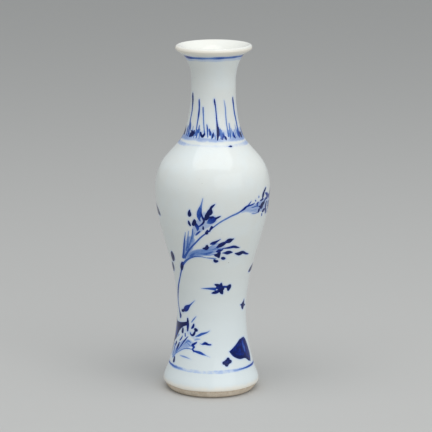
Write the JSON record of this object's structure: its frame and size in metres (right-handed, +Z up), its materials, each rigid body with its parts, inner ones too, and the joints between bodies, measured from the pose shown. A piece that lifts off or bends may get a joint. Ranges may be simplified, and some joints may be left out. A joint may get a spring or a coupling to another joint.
{
  "type": "porcelain vase",
  "caption": "Small porcelain baluster vase with a flared foot, full shoulder, slender neck and everted lip, glazed white over a blue brushwork painting of reeds.",
  "frame": {"origin": "centre of the foot ring, on the surface that the vase stands on", "axes": "+Z up along the axis that the vase is turned about, -Y towards the painted front"},
  "size_m": [0.0394, 0.0394, 0.12],
  "materials": {
    "biscuit": "unglazed fired porcelain, fine and matte",
    "slip": "fired slip in the joints, unglazed",
    "outer_glaze": "glossy clear glaze, faintly blue, over cobalt brushwork",
    "inner_glaze": "glossy clear glaze, plain white",
    "base_glaze": "glossy clear glaze in the recess of the base"
  },
  "bodies": {
    "root": {"foot_section": "biscuit", "body_section": "biscuit", "neck_section": "biscuit", "waist_luting_ring": "slip", "neck_luting_ring": "slip", "outer_glaze": "outer_glaze", "inner_glaze": "inner_glaze", "base_glaze": "base_glaze"}
  },
  "joints": []
}
